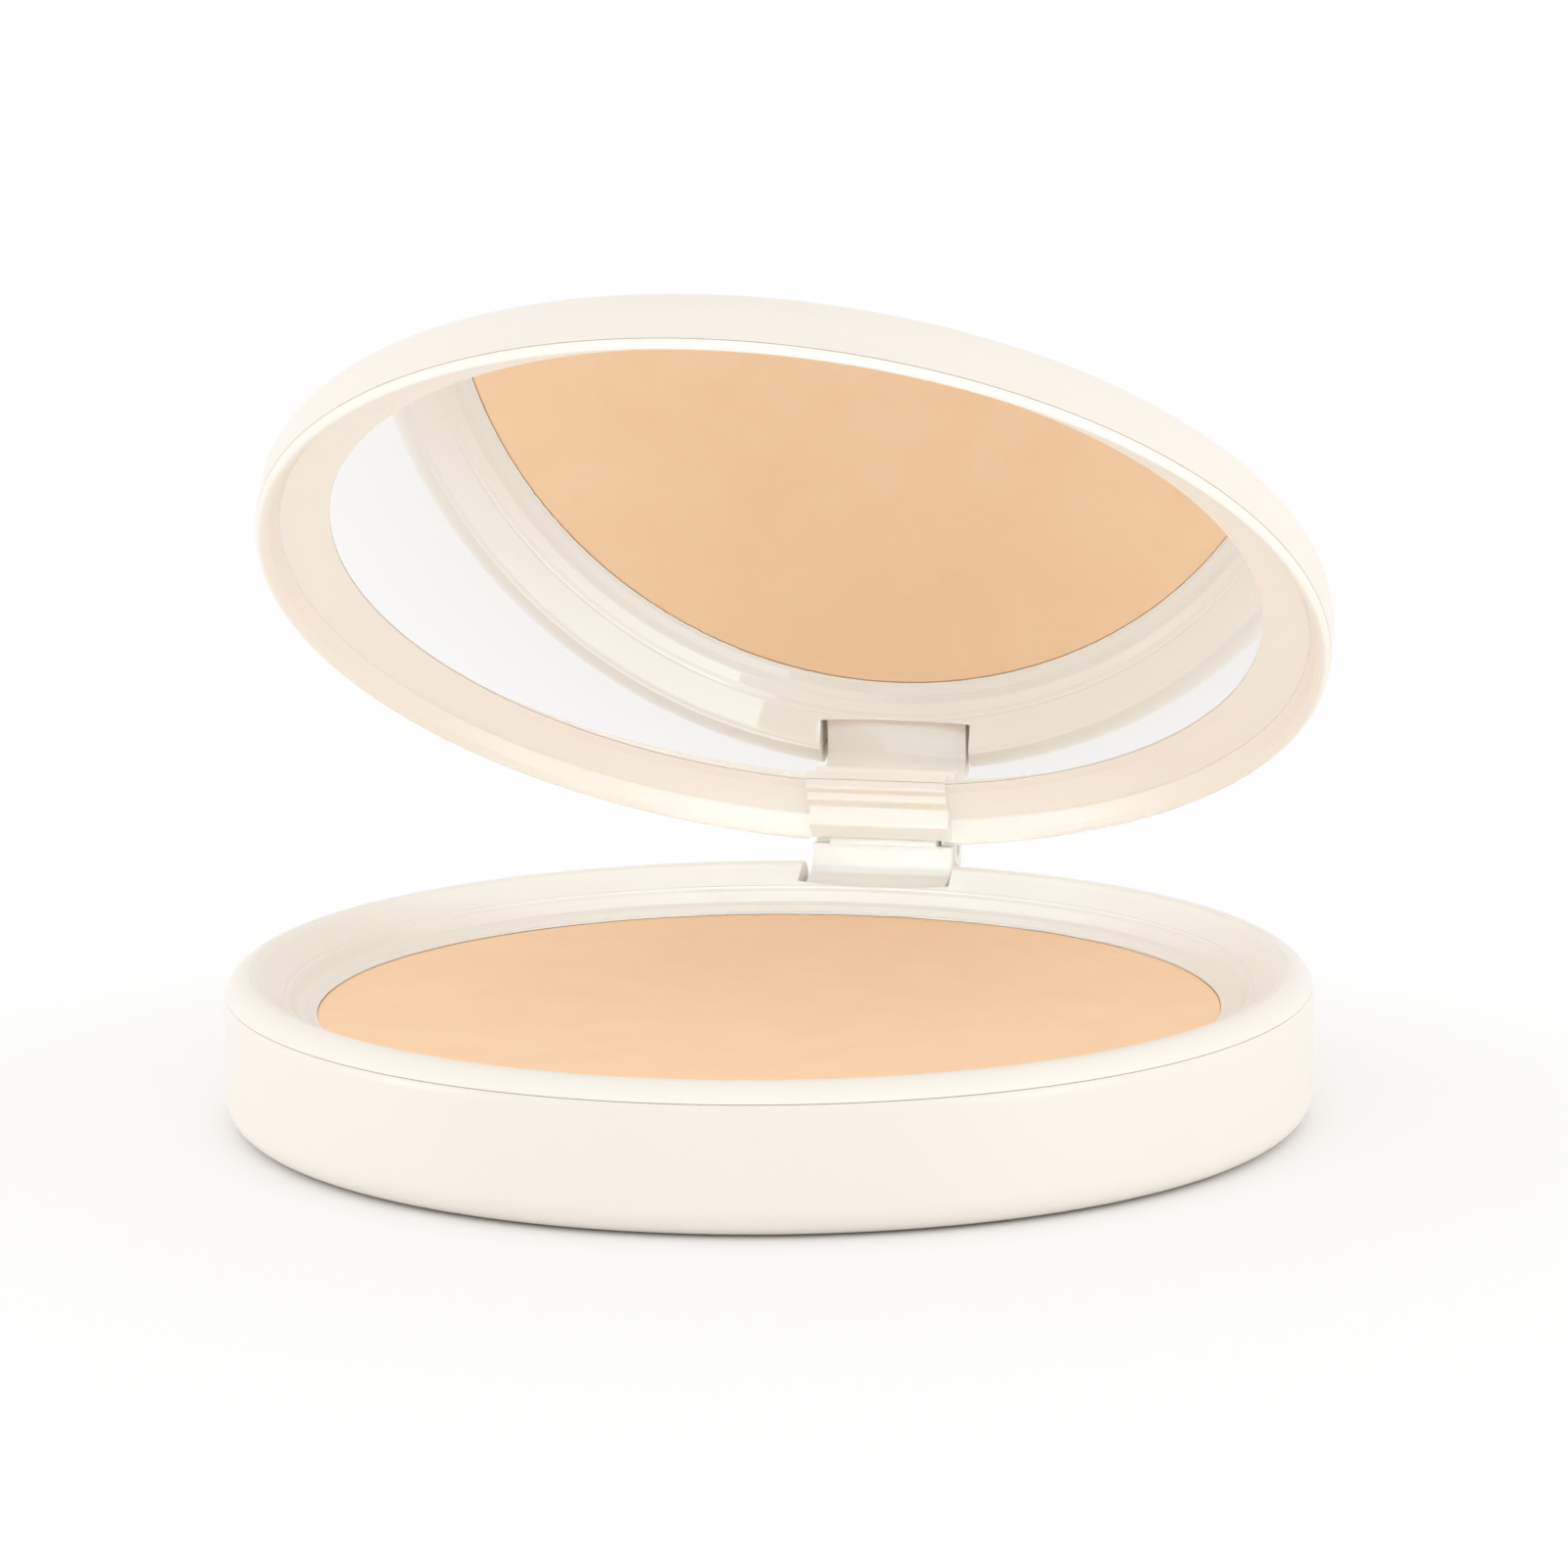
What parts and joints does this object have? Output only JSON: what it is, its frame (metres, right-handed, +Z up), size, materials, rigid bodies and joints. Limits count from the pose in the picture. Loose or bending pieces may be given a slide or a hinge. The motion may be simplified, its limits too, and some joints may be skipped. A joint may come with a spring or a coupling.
{
  "type": "powder compact",
  "caption": "Round hinged powder compact: shallow base holding a pan of pressed powder, and a lid with a round mirror inside, standing part open.",
  "frame": {"origin": "middle of the underside of the base, on the face that the compact stands on", "axes": "+Z up, +Y towards the hinge, +X along the hinge axis to the right as seen from the front"},
  "size_m": [0.072, 0.0746, 0.0572],
  "materials": {
    "cream_plastic": "satin gloss moulded plastic, warm cream",
    "powder": "pressed powder, matte, light beige",
    "mirror": "silvered mirror",
    "pan_metal": "plain pressed sheet",
    "pin_metal": "drawn wire",
    "adhesive": "milky adhesive",
    "label_paper": "coated white paper, blank"
  },
  "bodies": {
    "base": {"base_label": "label_paper", "base_shell": "cream_plastic", "base_frame": "cream_plastic", "pan_glue": "adhesive", "powder_pan": "pan_metal", "pressed_powder": "powder", "hinge_pin": "pin_metal"},
    "lid": {"lid_shell": "cream_plastic", "lid_frame": "cream_plastic", "mirror": "mirror", "mirror_tape": "adhesive"}
  },
  "joints": [
    {"name": "lid_hinge", "type": "hinge", "parent": "base", "child": "lid", "pos_m": [0, 0.0375, 0.01064], "axis": [-1, 0, 0], "range_deg": [-37.07, 82.93]}
  ]
}
